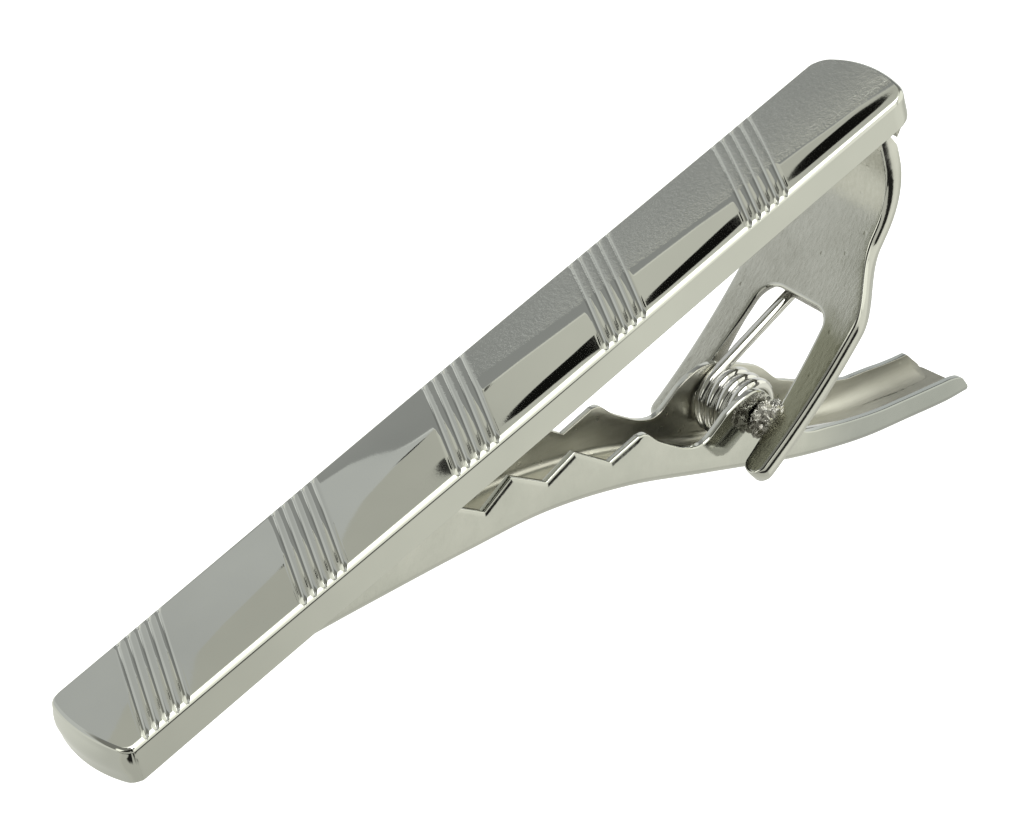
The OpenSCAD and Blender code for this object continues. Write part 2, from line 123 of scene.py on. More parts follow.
# The jaw's floor from the nose to the tail's end, as shares of the reach and of the rise or drop from the pivot
NOSE_X, TAIL_X = PIVOT_X - FORE, PIVOT_X + TAIL
NOSE_TOP = bar_under(NOSE_X) - NIP_GAP
NOSE_RISE = NOSE_TOP - PIVOT_Z
FLOOR = [(PIVOT_X - a * FORE, PIVOT_Z + b * NOSE_RISE) for a, b in (
    (1, 0.945), (0.894, 0.88), (0.741, 0.758), (0.586, 0.626), (0.429, 0.475), (0.275, 0.242), (0.122, -0.062))]
FLOOR += [(PIVOT_X + a * TAIL, PIVOT_Z - b * TAIL_DROP) for a, b in (
    (0.082, 0.425), (0.278, 0.587), (0.479, 0.731), (0.689, 0.848), (0.901, 0.962), (1, 1))]


def floor_z(x):
    return curve(FLOOR, x)


# The clip stands on the tip's lower edge and on the tail
LEAN = max(math.atan2(bar_under(0) - p[1], p[0]) for p in FLOOR)
COS, SIN = math.cos(LEAN), math.sin(LEAN)
MIDDLE = (TAIL_X * COS - floor_z(TAIL_X) * SIN - CROWN_H * SIN) / 2
FOOT_LEVEL = bar_under(0) * COS


def turned(v):
    return Vector((v[0] * COS - v[2] * SIN, v[1], v[0] * SIN + v[2] * COS))


def stood(p):
    return (turned(p) - Vector((MIDDLE, 0, FOOT_LEVEL))) / 1000


def stood_all(points):
    x, y, z = np.asarray(points, float).T
    return np.stack([x * COS - z * SIN - MIDDLE, y, x * SIN + z * COS - FOOT_LEVEL], 1) / 1000


# ---------------------------------------------------------------- camera, first
PHOTO_WIDTH, FOCAL_PIXELS, SENSOR = 1024, 5394.66, 36.0
# Fitted to the photograph: the camera's right, down and forward directions, and its place
RIGHT = (0.70302267, -0.68233525, -0.20044382)
DOWN = (-0.59415721, -0.40865122, -0.69280689)
AHEAD = (0.39081496, 0.60615409, -0.69270548)
CAMERA_PLACE = (-83.1576, -177.0457, 199.5448)


def camera():
    data = bpy.data.cameras.new("photo_camera")
    cam = bpy.data.objects.new("photo_camera", data)
    bpy.context.scene.collection.objects.link(cam)
    data.sensor_fit = "HORIZONTAL"
    data.sensor_width = SENSOR
    data.lens = FOCAL_PIXELS / PHOTO_WIDTH * SENSOR
    data.clip_start, data.clip_end = 0.01, 20.0
    m = Matrix.Identity(4)
    columns = (turned(RIGHT), -turned(DOWN), -turned(AHEAD), stood(CAMERA_PLACE))
    for c, column in enumerate(columns):
        for k in range(3):
            m[k][c] = column[k]
    cam.matrix_world = m
    bpy.context.scene.camera = cam


camera()


# ---------------------------------------------------------------- mesh helpers
def add_mesh(name, verts, faces, sharp, slots=None):
    """Adds a mesh that is smooth, apart from edges that turn by more than sharp degrees."""
    mesh = bpy.data.meshes.new(name)
    mesh.from_pydata(stood_all(verts).tolist(), [], faces)
    if slots:
        mesh.polygons.foreach_set("material_index", slots)
    mesh.validate()
    mesh.update()
    mesh.polygons.foreach_set("use_smooth", [True] * len(mesh.polygons))
    mesh.set_sharp_from_angle(angle=math.radians(sharp))
    obj = bpy.data.objects.new(name, mesh)
    bpy.context.scene.collection.objects.link(obj)
    return obj


def grid_faces(rows, cols, closed=False):
    """Quads between equal rows of points. Closed joins each row's last point to its first."""
    out = []
    for i in range(rows - 1):
        for j in range(cols if closed else cols - 1):
            a, b = i * cols + j, i * cols + (j + 1) % cols
            out.append((a, b, b + cols, a + cols))
    return out


def tube_faces(rows, cols):
    """Closed rows of points with a cap on either end."""
    last = (rows - 1) * cols
    return grid_faces(rows, cols, closed=True) + [tuple(range(cols))[::-1], tuple(range(last, last + cols))]


def smooth_step(t):
    t = min(max(t, 0.0), 1.0)
    return t * t * (3 - 2 * t)


def arc(x, y, r, start, end, steps):
    """Points from one angle to another, in degrees, round the place x, y."""
    angles = [math.radians(start + (end - start) * k / steps) for k in range(steps + 1)]
    return [(x + r * math.cos(a), y + r * math.sin(a)) for a in angles]


def unit(vectors):
    return vectors / np.linalg.norm(vectors, axis=1)[:, None]


# ---------------------------------------------------------------- the bar
def arc_radius(chord, rise):
    return chord ** 2 / (8 * rise) + rise / 2


CROWN_R = arc_radius(BAR_W, CROWN_H)
TAN = math.tan(math.radians(GROOVE_SLANT))
GROUP_PITCH = (BAR_LEN - FIRST_GROUP - LAST_INSET) / (GROUPS - 1)
GROUP_X = [FIRST_GROUP + k * GROUP_PITCH for k in range(GROUPS)]
GROOVE_AT = [(k - (GROOVES - 1) / 2) * GROOVE_PITCH for k in range(GROOVES)]
# Rows of the bar's grid: their distances from each cut, and from the outer cuts of a group outwards
CUT_ROWS = (0.0, 0.012, 0.026, 0.045, 0.07, 0.1, 0.14, 0.19, 0.25, 0.31, GROOVE_PITCH / 2)
OUTER_ROWS = (0.42, 0.49, 0.55, 0.61, 0.68, 0.75, 0.82, 0.9)
PLAIN_ROWS = 24
WIDE = BAR_W + 2 * PLATING
TOP_HALF = WIDE / 2 - TOP_EDGE_R


def crown(y):
    return CROWN_H - CROWN_R + math.sqrt(CROWN_R ** 2 - y * y)


def groove_depth(xi, y):
    """Depth of the cuts at the place xi, which is x less the groove's slant, and y across the bar."""
    best = 0.0
    # the straight tool bites deeper where the bar's edges round off
    bite = 1 + 1.5 * smooth_step((abs(y) - 2.75) / 0.35)
    for g in GROUP_X:
        if abs(xi - g) > GROOVES * GROOVE_PITCH:
            continue
        for k, at in enumerate(GROOVE_AT):
            u = xi - g - at
            outer = (k == 0 and u < 0) or (k == GROOVES - 1 and u > 0)
            depth, reach = LAST_LAND if outer else LAND
            # distance from the cut, eased so that the valley's bottom is round
            d = math.sqrt(u * u + 0.0002)
            cut = VALLEY[0] * bite * max(1 - d / (VALLEY[1] * bite), 0) ** 1.6
            best = max(best, depth * max(1 - d / reach, 0) ** 2 + cut)
    return best


def bar_top(x, y):
    return crown(y) - groove_depth(x - y * TAN, y)


def bar_rows():
    """Places of the grid's rows along the middle of the bar."""
    rows = []
    for g in GROUP_X:
        for at in GROOVE_AT:
            rows += [g + at + s * f for f in CUT_ROWS for s in (-1, 1)]
        rows += [g + s * (2 * GROOVE_PITCH + f) for f in OUTER_ROWS for s in (-1, 1)]
    reach = 2 * GROOVE_PITCH + OUTER_ROWS[-1]
    for a, b in zip(GROUP_X, GROUP_X[1:]):
        rows += list(np.linspace(a + reach, b - reach, PLAIN_ROWS + 2)[1:-1])
    return sorted(set(round(r, 5) for r in rows))


def end_patch(row, bow, sign, base_x, corner_r):
    """Lines of points from a bowed end with round corners to row, the grid's line that lies next to it. They are
    reckoned from the end inwards: sign is 1 at the tip and -1 at the hinge end."""
    bow_r = arc_radius(WIDE, bow)
    cy = WIDE / 2 - corner_r
    cx = bow_r - math.sqrt((bow_r - corner_r) ** 2 - cy * cy)
    bow_in, corner_in = bow_r - TOP_EDGE_R, corner_r - TOP_EDGE_R
    # angles, at the corner's centre, at which the corner meets the bowed end, and of its middle
    meet = math.atan2(cy, bow_r - cx)
    middle = (meet + math.pi / 2) / 2

    def corner(angle, s):
        return cx - corner_in * math.cos(angle), s * (cy + corner_in * math.sin(angle))

    def end_point(t):
        # t runs from -1 to 1 across the end, between the middles of the two corners
        s = -1 if t < 0 else 1
        bow_len = bow_in * meet
        along = abs(t) * (bow_len + corner_in * (middle - meet))
        if along <= bow_len:
            return bow_r - bow_in * math.cos(along / bow_in), s * bow_in * math.sin(along / bow_in)
        return corner(meet + (along - bow_len) / corner_in, s)

    def side_point(share, s, target_x):
        # share runs from 0 at the middle of the corner to 1 at target_x
        corner_len = corner_in * (math.pi / 2 - middle)
        along = share * (corner_len + target_x - cx)
        if along < corner_len:
            return corner(middle + along / corner_in, s)
        return cx + along - corner_len, s * TOP_HALF

    inner = [((x - base_x) * sign, y) for x, y in row]
    end = [end_point(2 * j / (BAR_COLS - 1) - 1) for j in range(BAR_COLS)]
    lines = []
    for k in range(END_ROWS):
        s = (k / END_ROWS) ** 1.15
        near, far = side_point(s, -1, inner[0][0]), side_point(s, 1, inner[-1][0])
        line = []
        for j in range(BAR_COLS):
            t = j / (BAR_COLS - 1)
            x, y = ((1 - s) * end[j][c] + s * inner[j][c] + (1 - t) * near[c] + t * far[c]
                    - (1 - s) * ((1 - t) * end[0][c] + t * end[-1][c])
                    - s * ((1 - t) * inner[0][c] + t * inner[-1][c]) for c in (0, 1))
            # the hinge end is cut a little askew: longer at its near corner
            askew = (ASKEW - ASKEW_NEAR * y) * (1 - s) if sign < 0 else 0
            line.append((x * sign + base_x + askew, y))
        lines.append(line)
    return lines


def bar_sides(pos):
    """Rings of points from the top's outline pos, given counter-clockwise from above, down to the bar's underside:
    the rounded top edge, the side face and the rounded lower edge."""
    tangent = unit(unit(np.roll(pos, -1, 0) - pos) + unit(pos - np.roll(pos, 1, 0)))
    out = np.stack([tangent[:, 1], -tangent[:, 0]], 1)
    rings = []
    for k in range(1, EDGE_STEPS + 1):
        ring = []
        for (x0, y0), (out_x, out_y) in zip(pos, out):
            tilt = math.asin(min(abs(y0) / CROWN_R, 0.99)) * abs(out_y)
            r = TOP_EDGE_R / (1 - math.sin(tilt))
            a = tilt + (math.pi / 2 - tilt) * k / EDGE_STEPS
            reach = r * (math.sin(a) - math.sin(tilt))
            # on the long sides the points go on along the grooves
            along = max(abs(out_y) - 0.9, 0) * 10
            x = x0 + reach * (out_x + along * math.copysign(TAN, out_y))
            y = y0 + reach * out_y
            z = crown(y0) + r * (math.cos(a) - math.cos(tilt))
            ring.append((x, y, min(z, bar_top(x, y))))
        rings.append(ring)
    # the lower edge is rounded more round the hinge end
    edge_r = [LOW_EDGE_R + LOW_EDGE_MORE * max(o[0], 0) ** 2 for o in out]
    upper = rings[-1]
    for share in (0.12, 0.25, 0.4, 0.55, 0.7, 0.85, 1.0):
        # the tip's face swells a little between its top and its foot
        swell = TIP_SWELL * math.sin(math.pi * min(share, 0.85))
        rings.append([(x - swell * max(-o[0], 0), y, z + (bar_under(x) + r - z) * share)
                      for (x, y, z), o, r in zip(upper, out, edge_r)])
    lower = rings[-1]
    for a in (15, 30, 45, 60, 75, 90):
        back, up = 1 - math.cos(math.radians(a)), 1 - math.sin(math.radians(a))
        flat = [(x - o[0] * r * back, y - o[1] * r * back) for (x, y, z), o, r in zip(lower, out, edge_r)]
        rings.append([(x, y, bar_under(x) + r * up) for (x, y), r in zip(flat, edge_r)])
    return rings


def build_bar():
    cols = BAR_COLS
    across = [2 * j / (cols - 1) - 1 for j in range(cols)]
    # the columns lie a little closer together towards the long edges
    ys = [TOP_HALF * math.sin(math.pi / 2 * w) * 0.25 + TOP_HALF * w * 0.75 for w in across]
    grid = [[(r + y * TAN, y) for y in ys] for r in bar_rows()]
    tip = end_patch(grid[0], TIP_BOW, 1, 0.0, CORNER_R)
    end = end_patch(grid[-1], END_BOW, -1, BAR_LEN, CORNER_R + CORNER_MORE)
    grid = tip + grid + end[::-1]
    rows = len(grid)
    verts = [(x, y, bar_top(x, y)) for line in grid for x, y in line]
    faces = grid_faces(rows, cols)
    # the grid's outline, counter-clockwise seen from above
    loop = [i * cols for i in range(rows)]
    loop += [(rows - 1) * cols + j for j in range(1, cols)]
    loop += [i * cols + cols - 1 for i in range(rows - 2, -1, -1)]
    loop += list(range(cols - 2, 0, -1))
    n = len(loop)
    above = loop
    for ring in bar_sides(np.array([verts[i][:2] for i in loop])):
        below = list(range(len(verts), len(verts) + n))
        verts += ring
        faces += [(above[i], below[i], below[(i + 1) % n], above[(i + 1) % n]) for i in range(n)]
        above = below
    faces.append(tuple(above[::-1]))
    swollen = []
    for x, y, z in verts:
        share = math.sin(math.pi * min(max((x - 4) / 50, 0), 1)) ** 2
        swollen.append((x, y * (1 + MIDDLE_SWELL * share), z))
    return add_mesh("bar_body", swollen, faces, 32)


# ---------------------------------------------------------------- the bracket, bent from plate
def moved_in(outline, inset):
    """The outline, which runs counter-clockwise, moved inwards by inset, which may differ from point to point."""
    p = np.array(outline)
    ahead, back = unit(np.roll(p, -1, 0) - p), unit(p - np.roll(p, 1, 0))
    t = unit(ahead + back)
    reach = 1 / np.clip((ahead * t).sum(1), 0.6, 1)
    return p + np.stack([-t[:, 1], t[:, 0]], 1) * (np.asarray(inset) * reach)[:, None]


def densify(points, step):
    out = []
    for a, b in zip(points, points[1:] + points[:1]):
        a, b = np.array(a, float), np.array(b, float)
        k = max(1, int(round(np.linalg.norm(b - a) / step)))
        out += [tuple(a + (b - a) * j / k) for j in range(k)]
    return out


def plate(name, outline, place, thick, rim_r, step, cut, taper):
    """A plate whose outline is drawn flat and whose points are bent into place by place(u, v, out).
    Its rim has the second material, or the third where cut(u, v) says so. taper(u, v) is how much further the
    rim's back edge lies inwards than its front edge."""
    outline = densify(outline, step)
    n = len(outline)
    flat = thick / 2 - rim_r
    # the rim's profile: how far inwards and how far outwards
    rows = [(0.0, 0.0)]
    for inwards, outwards in arc(rim_r, 0, rim_r, 180 - 22.5, 90, 3):
        rows = [(inwards, -flat - outwards)] + rows + [(inwards, flat + outwards)]
    lean = np.array([taper(u, v) for u, v in outline])
    verts = []
    for inset, out in rows:
        verts += [place(u, v, out) for u, v in moved_in(outline, inset + lean * max(out + flat, 0) / thick)]
    faces = grid_faces(len(rows), n, closed=True)
    slots = [2 if cut(*p) and out > 0.05 - flat else 1 for _, out in rows[1:] for p in outline]
    for side, base, inset in ((-1, 0, rim_r), (1, (len(rows) - 1) * n, rim_r + lean * (thick - rim_r) / thick)):
        fill_side(moved_in(outline, inset), place, side * thick / 2, step, base, side, verts, faces, slots)
    return add_mesh(name, verts, faces, 40, slots)


def fill_side(line, place, out, step, base, side, verts, faces, slots):
    """Fills one flat side of a plate with triangles, inside the line that its rim ends on."""
    n = len(line)
    low, high = line.min(0), line.max(0)
    after = np.roll(line, -1, 0)

    def well_inside(u, v):
        crossed = (line[:, 1] > v) != (after[:, 1] > v)
        at = (after[:, 0] - line[:, 0]) * (v - line[:, 1]) / (after[:, 1] - line[:, 1] + 1e-15) + line[:, 0]
        return (np.count_nonzero(crossed & (u < at)) % 2
                and np.min(np.hypot(line[:, 0] - u, line[:, 1] - v)) > step * 0.55)

    # a net of points in staggered rows
    inner, k, u = [], 0, low[0] + step
    while u < high[0]:
        v = low[1] + step * (0.5 if k % 2 else 1.0)
        while v < high[1]:
            if well_inside(u, v):
                inner.append(Vector((u, v)))
            v += step
        u += step * 0.87
        k += 1
    coords = [Vector(p) for p in line] + inner
    points, _, triangles, origins = delaunay_2d_cdt(
        coords, [(i, (i + 1) % n) for i in range(n)], [list(range(n))], 1, 1e-6)[:4]
    ids = []
    for p, origin in zip(points, origins):
        if origin and origin[0] < n:
            ids.append(base + origin[0])
        else:
            ids.append(len(verts))
            verts.append(place(p.x, p.y, out))
    for t in triangles:
        faces.append(tuple(ids[i] for i in t[::side]))
        slots.append(0)


# Middle line of the bracket: straight foot, one bend, then the long curve through the pivot
FOOT_X = BAR_LEN - FOOT_INSET
BEND = math.radians(FOOT_BEND)
PIVOT_TURN = math.acos((PIVOT_X - FOOT_X + FOOT_BEND_R - (FOOT_BEND_R - LEG_R) * math.cos(BEND)) / LEG_R)
FOOT_Z = PIVOT_Z + (FOOT_BEND_R - LEG_R) * math.sin(BEND) + LEG_R * math.sin(PIVOT_TURN)
FOOT_C = (FOOT_X - FOOT_BEND_R, FOOT_Z)
LEG_C = (FOOT_C[0] + (FOOT_BEND_R - LEG_R) * math.cos(BEND), FOOT_C[1] - (FOOT_BEND_R - LEG_R) * math.sin(BEND))
TILT = math.pi / 2 - PIVOT_TURN
UP_LEG = (math.cos(TILT), math.sin(TILT))
# The legs go on a little past the pivot, by this angle
PAST_PIVOT = math.degrees(PIVOT_TURN + 0.14)


@functools.cache
def bracket_line(out):
    """Points of the bracket's line at the distance out from its middle, and how far up the leg each one lies."""
    points = [(FOOT_X + out, z) for z in np.linspace(bar_under(FOOT_X) + 0.25, FOOT_Z, 6)[:-1]]
    points += arc(*FOOT_C, FOOT_BEND_R + out, 0, -FOOT_BEND, 39)[:-1]
    points += arc(*LEG_C, LEG_R + out, -FOOT_BEND, -PAST_PIVOT, 119)
    points = np.array(points)
    up = (points[:, 0] - PIVOT_X) * UP_LEG[0] + (points[:, 1] - PIVOT_Z) * UP_LEG[1]
    order = np.argsort(up)
    return up[order], points[order]


def bracket_place(up, y, out):
    ups, points = bracket_line(out)
    return float(np.interp(up, ups, points[:, 0])), y, float(np.interp(up, ups, points[:, 1]))


def punched(u, v):
    """The punched window's edge, which is rough."""
    return abs(v) < WINDOW_W / 2 + 0.5 and -2.4 < u < WINDOW_RISE + 0.01


def punch_slant(u, v):
    """On the window's far side the punch left the edge slanted."""
    return PUNCH_SLANT * smooth_step((u - 0.5) / 4.5) * smooth_step(v - 0.9) if punched(u, v) else 0.0


def build_bracket():
    tip_r = LEG_TIP_W / 2
    leg = [(bracket_line(0)[0][-1] - 0.02, FOOT_W / 2)]
    for k in range(25):
        t = 1 - k / 24
        leg.append((WINDOW_RISE + t * SHOULDER, LEG_SPAN / 2 - (LEG_SPAN - FOOT_W) / 2 * smooth_step(t)))
    leg += arc(tip_r - OVERHANG, TIP_SPAN / 2 - tip_r, tip_r, 90, 270, 16)
    far, near = (leg + arc(WINDOW_RISE - r, WINDOW_W / 2 - r, r, 90, 0, 12) for r in (WINDOW_FAR_R, WINDOW_R))
    outline = far + [(u, -v) for u, v in reversed(near)]
    return plate("bracket_plate", outline, bracket_place, PLATE_T, RIM_R, NET_STEP, punched, punch_slant)


# ---------------------------------------------------------------- the jaw
TOOTH_X = PIVOT_X - FIRST_TOOTH
TOOTH_PITCH = TOOTH_RUN / TEETH
LAST_X = TOOTH_X + TOOTH_RUN
HEEL_TOP = bar_under(TOOTH_X) - NIP_GAP - HEEL_GAP
TOOTH_LINE = [(NOSE_X, NOSE_TOP), (TOOTH_X, HEEL_TOP)]
for _k in range(TEETH):
    _valley, _peak = TOOTH_X + (_k + 0.48) * TOOTH_PITCH, TOOTH_X + (_k + 1) * TOOTH_PITCH
    TOOTH_LINE += [(_valley, floor_z(_valley) + TOOTH_LOW), (_peak, floor_z(_peak) + TOOTH_TALL)]
LAST_Z = floor_z(LAST_X) + TOOTH_TALL
# Ears: how far behind the pivot and how high above it, as shares of the ear's height
EAR = [(-0.88, 1), (-0.32, 1.03), (0.14, 0.87)]
NEAR_EAR = EAR + [(0.4, 0.42), (0.66, -0.36), (0.92, -1.05), (1.22, -1.41)]
FAR_EAR = EAR + [(0.55, 0.51), (1.04, 0.06), (1.44, -0.38), (1.8, -1.05), (2.11, -1.36), (2.3, -1.54),
                 (3.0, -2.16), (3.78, -2.71)]
EAR_FRONT = (PIVOT_X + EAR[0][0] * EAR_H, PIVOT_Z + EAR[0][1] * EAR_H)
# The waist between the last tooth and the ears, as shares of the way there
WAIST = [(LAST_X + a * (EAR_FRONT[0] - LAST_X), LAST_Z + b * (EAR_FRONT[1] - LAST_Z)) for a, b in (
    (0, 0), (0.09, 0.083), (0.2, 0.42), (0.33, 0.72), (0.44, 0.945), (0.585, 1.14), (0.7, 1.18), (0.85, 1.1))]
# Tail walls: how far behind the pivot and how tall, as shares of the tail and of its wall
NEAR_TAIL = [(0.3, 1.12), (0.42, 1.08), (0.56, 1.02), (0.68, 1.0), (0.8, 1.0), (0.895, 0.99), (0.95, 0.93),
             (0.985, 0.76), (1, 0.42)]
FAR_TAIL = [(0.68, 1.04), (0.76, 1.02), (0.83, 0.98), (0.9, 0.96), (0.955, 0.94)]
# The last point of the outer surface in a side of jaw_section
OUTER_LAST = 22


def wall_line(ear, tail):
    line = WAIST + [(PIVOT_X + a * EAR_H, PIVOT_Z + b * EAR_H) for a, b in ear]
    return line + [(PIVOT_X + a * TAIL, floor_z(PIVOT_X + a * TAIL) + b * TAIL_WALL) for a, b in tail]


NEAR_LINE, FAR_LINE = wall_line(NEAR_EAR, NEAR_TAIL), wall_line(FAR_EAR, FAR_TAIL)


def rim_z(x, far):
    """Height of the jaw's rim at x, on its far or its near wall."""
    if x <= LAST_X:
        return float(np.interp(x, *zip(*TOOTH_LINE)))
    line = FAR_LINE if far else NEAR_LINE
    if x <= line[-1][0]:
        return curve(line, x)
    # the far wall ends in a slanted cut
    fall = (x - line[-1][0]) / (TAIL_X - line[-1][0])
    return line[-1][1] + (floor_z(TAIL_X) + 0.3 * TAIL_WALL - line[-1][1]) * fall


def flare_at(x):
    """0 up to the ears and 1 at the tail's end."""
    return smooth_step((x - PIVOT_X - EAR_H) / (TAIL - EAR_H))


def jaw_half(x):
    """Half width of the jaw: a rounded nose, parallel walls, and a tail that narrows a little."""
    near = max(1 - (x - NOSE_X) / (JAW_W / 2), 0)
    return JAW_W / 2 * (0.55 + 0.45 * math.sqrt(max(1 - near * near, 0))) + (TAIL_W - JAW_W) / 2 * flare_at(x)


def jaw_section(x, far):
    """One side of the channel at x, as points across and up: from the middle of its underside outwards, up the
    wall, over the rim, down the inside and back to the middle."""
    base = floor_z(x)
    before, after = max(x - 0.05, NOSE_X), min(x + 0.05, TAIL_X)
    thick = SHEET / math.cos(math.atan2(floor_z(after) - floor_z(before), after - before))
    rim = max(rim_z(x, far), base + thick + 0.05)
    half = jaw_half(x)
    wall = half - SHEET
    # the fold's outer and inner radius, as far as the wall's height lets them be
    r_out = min(JAW_BEND, 0.95 * (rim - base))
    r_in = max(min(0.55 + 0.8 * flare_at(x), 0.9 * (rim - base - thick)), 0.02)
    # along the teeth the wall leans in a little below its outer lip
    worn = smooth_step((LAST_X + 0.6 - x) / 0.8)
    lean, lean_r, lip = math.radians(LEAN_IN) * worn, LEAN_R * worn, LIP - 0.02 * worn
    lean_up = lean_r * math.sin(lean)
    centre = half - lean_r * (1 - math.cos(lean)) - lip * math.cos(lean)
    top = max(rim - min(lean_up + lip * math.cos(lean), 0.7 * (rim - base)), base + r_out)
    shrink = (rim - top) / (lean_up + lip * (1 - math.sin(lean)) + 1e-9)
    side = [(0.0, base), (half * 0.35, base), ((half - r_out) * 0.85, base)]
    side += arc(half - r_out, base + r_out, r_out, -90, 0, 6)
    side += [(half, base + r_out + (top - base - r_out) * f) for f in (0.33, 0.66, 1.0)]
    for a in (lean * 0.25, lean * 0.5, lean * 0.75, lean):
        side.append((half - lean_r * (1 - math.cos(a)), top + shrink * lean_r * math.sin(a)))
    for f in (0.2, 0.4, 0.6, 0.8, 1.0):
        a = lean + (math.pi / 2 - lean) * f
        side.append((centre + lip * math.cos(a), top + shrink * (lean_up + lip * (math.sin(a) - math.sin(lean)))))
    side += arc(wall + IN_LIP, rim - IN_LIP, IN_LIP, 90, 180, 3)
    low = min(base + thick + r_in, rim - IN_LIP)
    side += [(wall, rim - IN_LIP + (low - rim + IN_LIP) * f) for f in (0.33, 0.66, 1.0)]
    side += arc(wall - r_in, low, r_in, 0, -90, 6)[1:]
    return side + [((wall - r_in) * 0.85, base + thick), (wall * 0.35, base + thick), (0.0, base + thick)]


def build_jaw():
    nose_end = NOSE_X + JAW_W / 2
    xs = [NOSE_X + JAW_W / 2 * (1 - math.cos(math.pi / 2 * k / 10)) for k in range(10)]
    xs += list(np.linspace(nose_end, TOOTH_X, 40))
    corners = [p[0] for p in TOOTH_LINE[1:]]
    for a, b in zip(corners, corners[1:]):
        xs += [a + (b - a) * f for f in (0.0, 0.03, 0.08, 0.2, 0.4, 0.6, 0.8, 0.92, 0.97)]
    xs += list(np.linspace(LAST_X, TAIL_X - 1.6, 150))
    xs += list(np.linspace(TAIL_X - 1.6, TAIL_X, 24))
    xs = sorted(set(round(x, 5) for x in xs))
    verts = []
    for x in xs:
        far_side, near_side = jaw_section(x, True), jaw_section(x, False)
        # the tail's far wall is cut a little shorter than its near wall
        skew = TAIL_SKEW * smooth_step((x - PIVOT_X - 5) / (TAIL - 5))
        for y, z in far_side + [(-y, z) for y, z in reversed(near_side[1:-1])]:
            back = skew * y / TAIL_W
            verts.append((x - back, y, z + floor_z(x - back) - floor_z(x)))
    m = len(far_side)
    n = 2 * m - 2
    faces = [(a, d, c, b) for a, b, c, d in grid_faces(len(xs), n, closed=True)]
    slots = [1 if OUTER_LAST < (j if j < n // 2 else n - 1 - j) else 0 for j in range(n)] * (len(xs) - 1)
    for start, turn in ((0, 1), ((len(xs) - 1) * n, -1)):
        for k in range((m - 1) // 2):
            # outer and inner points of one end, joined across the sheet, on the far and on the near side
            far_quad = [start + i for i in (k, k + 1, m - 2 - k, m - 1 - k)]
            near_quad = [start + (n - i) % n for i in (k + 1, k, m - 1 - k, m - 2 - k)]
            faces += [tuple(far_quad[::turn]), tuple(near_quad[::turn])]
            slots += [0, 0]
    return add_mesh("jaw_channel", verts, faces, 38, slots)


# ---------------------------------------------------------------- the spring and the pin's end
def sweep(path, radius):
    """A round wire along a path."""
    p = np.array(path, float)
    verts, side = [], None
    for i in range(len(p)):
        t = p[min(i + 1, len(p) - 1)] - p[max(i - 1, 0)]
        t /= np.linalg.norm(t)
        if side is None:
            side = np.cross(t, (0, 1, 0))
            side /= np.linalg.norm(side)
        side = side - t * np.dot(side, t)
        side /= np.linalg.norm(side)
        up = np.cross(side, t)
        r = radius if 0 < i < len(p) - 1 else radius * 0.8
        for k in range(WIRE_SIDES):
            a = 2 * math.pi * k / WIRE_SIDES
            verts.append(tuple(p[i] + r * (math.cos(a) * up + math.sin(a) * side)))
    return verts, tube_faces(len(p), WIRE_SIDES)


def build_spring():
    """The spring, and half the width of its coil. Its ends are reckoned from the pivot."""
    face = LEG_R + PLATE_T / 2 + WIRE / 2
    turn = PIVOT_TURN - math.asin(UPPER_REACH / LEG_R)
    upper = np.array([LEG_C[0] + face * math.cos(turn) - PIVOT_X, LEG_C[1] - face * math.sin(turn) - PIVOT_Z])
    lower_z = floor_z(PIVOT_X + LOWER_REACH) + SHEET + WIRE / 2 + 0.05
    lower = np.array([LOWER_REACH, lower_z - PIVOT_Z])
    # each arm leaves the coil along a tangent
    start = math.atan2(upper[1], upper[0]) + math.acos(COIL_R / np.linalg.norm(upper))
    end = math.atan2(lower[1], lower[0]) - math.acos(COIL_R / np.linalg.norm(lower)) + 2 * math.pi
    around = end - start + 2 * math.pi * WHOLE_TURNS
    turns = around / (2 * math.pi)
    half = WIRE * COIL_PITCH * turns / 2

    def on_coil(a):
        return np.array([COIL_R * math.cos(a), COIL_R * math.sin(a)])

    def arm(a, b, y):
        return [((a + (b - a) * t)[0] + PIVOT_X, y, (a + (b - a) * t)[1] + PIVOT_Z) for t in np.linspace(0, 1, 24)]

    path = arm(upper, on_coil(start), half)[:-1]
    steps = int(turns * 40)
    for k in range(steps + 1):
        x, z = on_coil(start + k / steps * around)
        path.append((PIVOT_X + x, half * (1 - 2 * k / steps), PIVOT_Z + z))
    path += arm(on_coil(end), lower, -half)[1:]
    verts, faces = sweep(path, WIRE / 2)
    return add_mesh("spring_wire", verts, faces, 50), half


def build_burr():
    """The pin's near end, where it was peened against the leg: a rough collar of torn-up metal."""
    start, end = -(JAW_W / 2 + 0.08), -(TIP_SPAN / 2 - LEG_TIP_W + 0.3)
    verts = []
    for i in range(BURR_ROWS):
        t = i / (BURR_ROWS - 1)
        y = start + (end - start) * t
        # the collar is thickest in its middle, and lumps, ridges and grain of three sizes roughen it
        swell = 0.62 + 0.5 * math.sin(math.pi * min(0.1 + 0.8 * t, 1.0)) ** 0.7
        for k in range(BURR_COLS):
            a = 2 * math.pi * k / BURR_COLS
            at = Vector((math.cos(a), math.sin(a), y * 1.1))
            coarse = noise.noise(at * 1.7 + Vector((3.1, 0.4, 7.7)))
            ridge = 0.5 - abs(noise.noise(at * 3.6 + Vector((coarse * 2, 5.2, 1.3))))
            fine = noise.noise(at * 9.0)
            r = swell * (1 + 0.42 * coarse + 0.5 * (ridge - 0.3) + 0.09 * fine)
            if i in (0, BURR_ROWS - 1):
                r *= 0.8
            verts.append((PIVOT_X - 0.1 + r * math.cos(a), y + 0.1 * coarse * math.sin(math.pi * t),
                          PIVOT_Z + 0.45 + r * math.sin(a)))
    return add_mesh("pin_burr", verts, tube_faces(BURR_ROWS, BURR_COLS), 60)


